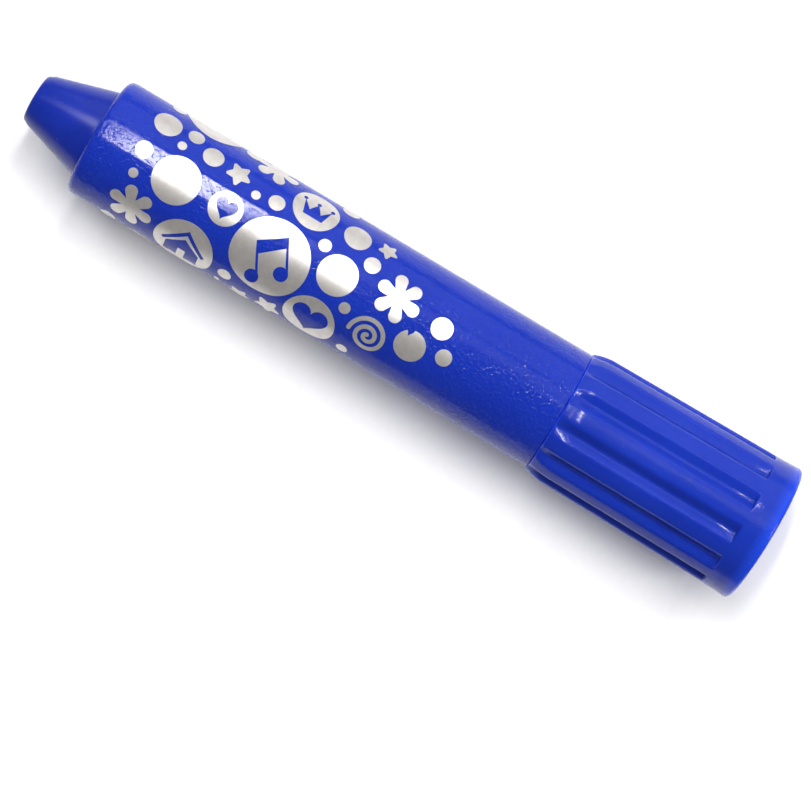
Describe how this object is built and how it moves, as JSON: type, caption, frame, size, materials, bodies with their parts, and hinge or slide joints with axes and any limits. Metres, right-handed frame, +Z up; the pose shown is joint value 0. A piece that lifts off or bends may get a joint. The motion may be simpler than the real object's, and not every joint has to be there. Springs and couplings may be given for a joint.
{
  "type": "twist-up crayon",
  "caption": "Thick round twist-up crayon lying on its side, with a plain barrel, a fluted rear knob and a cone-tipped wax stick.",
  "frame": {"origin": "centre of the object's box in plan, on the surface it lies on", "axes": "+X along the crayon's axis from the tip to the knob, +Y across it, +Z up"},
  "size_m": [0.1058, 0.0186, 0.0186],
  "materials": {
    "barrel": "glossy moulded blue plastic with a silver foil print over its front half",
    "twist_knob": "glossy moulded blue plastic, slightly worn and speckled",
    "lead_screw": "moulded natural plastic",
    "stick_carrier": "moulded blue plastic",
    "crayon_stick": "smooth satin blue wax"
  },
  "bodies": {
    "barrel": {"barrel": "barrel"},
    "knob": {"twist_knob": "twist_knob", "lead_screw": "lead_screw"},
    "stick": {"stick_carrier": "stick_carrier", "crayon_stick": "crayon_stick"}
  },
  "joints": [
    {"name": "knob_twist", "type": "hinge", "parent": "barrel", "child": "knob", "pos_m": [0.05295, 0, 0.0093], "axis": [-1, 0, 0], "range_deg": [-720, 3240]},
    {"name": "stick_feed", "type": "slide", "parent": "barrel", "child": "stick", "axis": [-1, 0, 0], "range_m": [-0.01, 0.045]}
  ],
  "couplings": [
    {"joint": "stick_feed", "follows": "knob_twist", "m_per_rad": 0.00079577}
  ]
}
